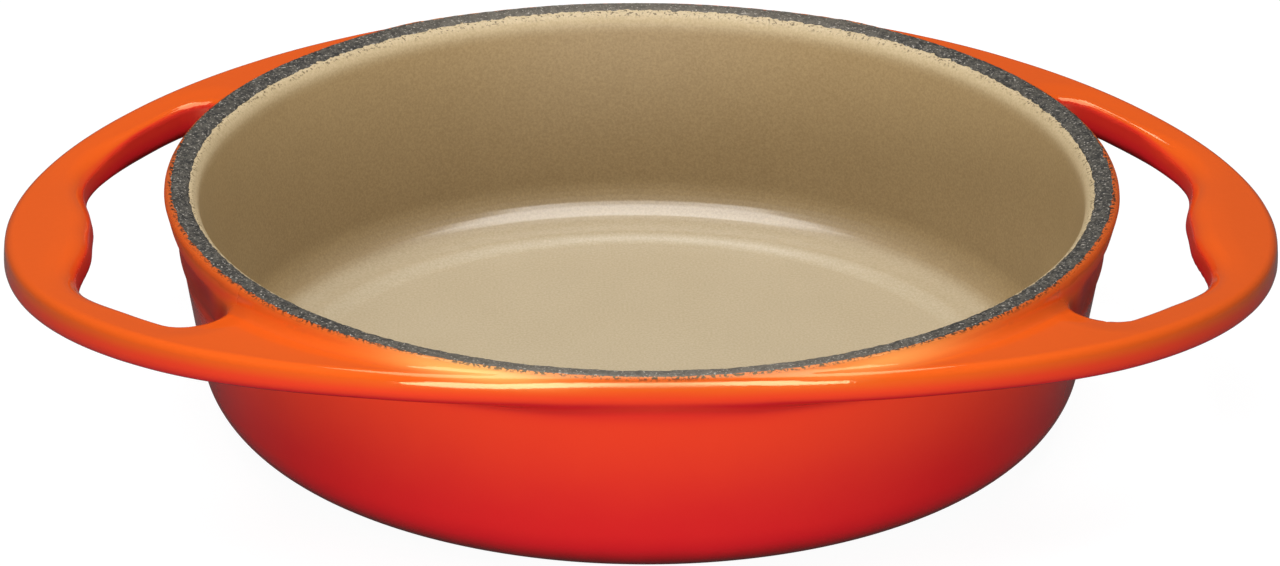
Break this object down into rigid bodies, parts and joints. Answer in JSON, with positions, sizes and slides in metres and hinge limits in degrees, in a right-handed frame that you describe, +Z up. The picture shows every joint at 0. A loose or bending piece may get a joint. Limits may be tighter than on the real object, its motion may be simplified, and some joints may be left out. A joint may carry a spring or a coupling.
{
  "type": "tarte tatin dish",
  "caption": "shallow round cast-iron baking dish, sand enamel inside and flame-orange enamel outside, with an oval flange that dips towards its ends and opens there into loop handles",
  "frame": {"origin": "on the table, under the middle of the bowl", "axes": "+X along the two loop handles, +Y towards the back as seen in the picture, +Z up out of the bowl"},
  "size_m": [0.3428, 0.2568, 0.064],
  "materials": {
    "iron": "rough casting, wholly covered by its coats",
    "flame_enamel": "glossy glass, orange on the flange and loops, running to crimson down the wall",
    "sand_enamel": "satin sand-coloured glass with fine specks",
    "ground_coat": "matte black, slightly rough, with ragged edges",
    "base_coat": "glossy dark crimson glass"
  },
  "bodies": {
    "root": {"iron_casting": "iron", "exterior_enamel": "flame_enamel", "interior_enamel": "sand_enamel", "rim_ground_coat": "ground_coat", "base_enamel": "base_coat"}
  },
  "joints": []
}
